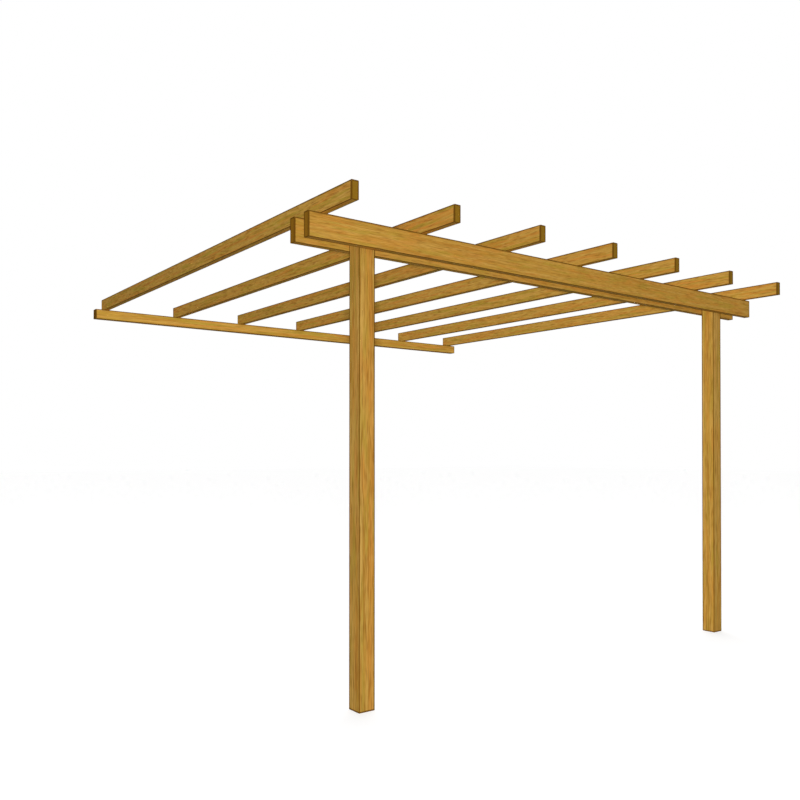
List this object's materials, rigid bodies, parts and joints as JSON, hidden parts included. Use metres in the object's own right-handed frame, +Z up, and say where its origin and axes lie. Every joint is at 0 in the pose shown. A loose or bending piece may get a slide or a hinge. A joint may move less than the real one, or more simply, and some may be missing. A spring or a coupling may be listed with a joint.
{
  "type": "lean-to pergola",
  "caption": "Lean-to timber pergola: square front posts held between paired beams carry spaced rafters that run back onto a plate fixed to a wall.",
  "frame": {"origin": "middle of the wall plate's back face, the face that is bolted to the wall", "axes": "+Y points into the wall, +Z is up, X runs along the beams and the wall plate"},
  "size_m": [4, 4.014, 2.703],
  "materials": {
    "post_wood": "planed softwood with a golden ochre stain, fine lengthwise grain",
    "beam_wood": "planed softwood with a golden ochre stain, fine lengthwise grain",
    "rafter_wood": "planed softwood with a golden ochre stain, fine lengthwise grain",
    "plate_wood": "planed softwood with a golden ochre stain, fine lengthwise grain"
  },
  "bodies": {
    "root": {"post_left": "post_wood", "post_right": "post_wood", "front_beam": "beam_wood", "back_beam": "beam_wood", "rafter_1": "rafter_wood", "rafter_2": "rafter_wood", "rafter_3": "rafter_wood", "rafter_4": "rafter_wood", "rafter_5": "rafter_wood", "rafter_6": "rafter_wood", "rafter_7": "rafter_wood", "wall_plate": "plate_wood"}
  },
  "joints": []
}
